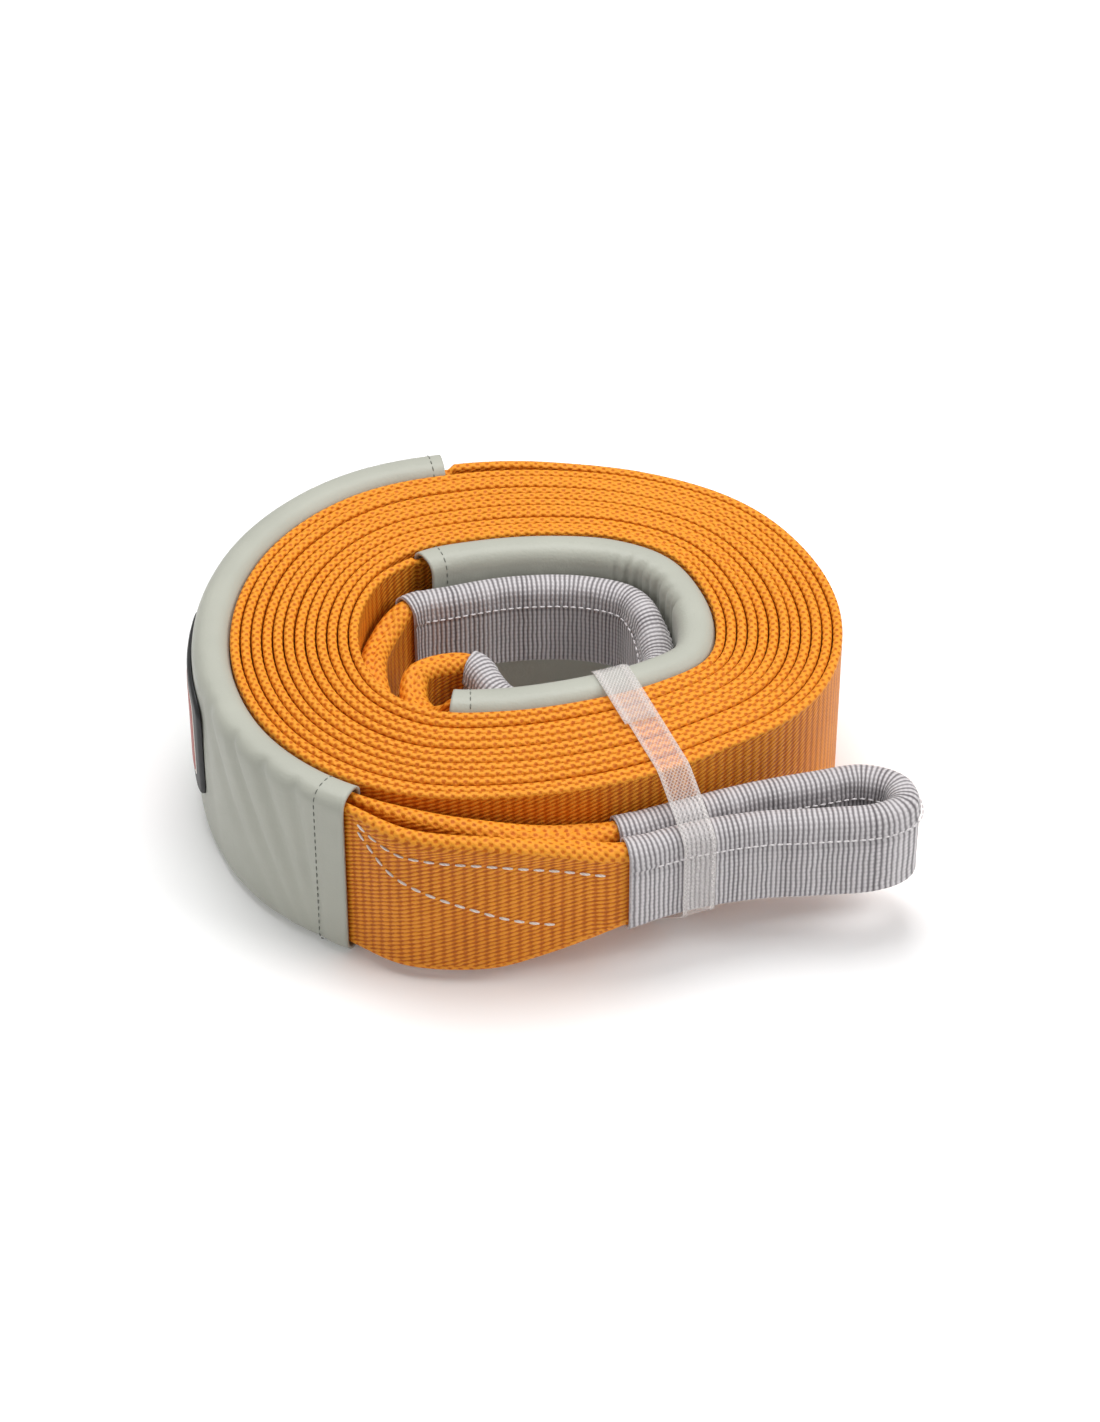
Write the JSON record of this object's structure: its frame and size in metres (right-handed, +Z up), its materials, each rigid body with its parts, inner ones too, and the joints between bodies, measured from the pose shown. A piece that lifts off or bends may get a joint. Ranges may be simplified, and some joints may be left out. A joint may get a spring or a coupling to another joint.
{
  "type": "kinetic recovery strap",
  "caption": "Wide nylon recovery strap rolled flat on its edge, with a sleeved eye at each end, vinyl sleeves over the splices and a clear tie band",
  "frame": {"origin": "on the floor, under the middle of the whole object's bounding box", "axes": "+X along the roll's long side towards the free eye, +Y to the back of the roll, +Z up along the roll's axis, across the webbing's width"},
  "size_m": [0.3112, 0.262, 0.0846],
  "materials": {
    "webbing": "heavy ribbed nylon weave",
    "outer_splice_sleeve": "soft vinyl-coated sleeve with satin sheen",
    "inner_splice_sleeve": "soft vinyl-coated sleeve with satin sheen",
    "outer_eye_sleeve": "ribbed woven tube with sewn hems",
    "inner_eye_sleeve": "ribbed woven tube with sewn hems",
    "sleeve_patch": "moulded satin rubber",
    "tie_band": "thin translucent embossed film"
  },
  "bodies": {
    "root": {"webbing": "webbing", "outer_splice_sleeve": "outer_splice_sleeve", "inner_splice_sleeve": "inner_splice_sleeve", "outer_eye_sleeve": "outer_eye_sleeve", "inner_eye_sleeve": "inner_eye_sleeve", "sleeve_patch": "sleeve_patch", "tie_band": "tie_band"}
  },
  "joints": []
}
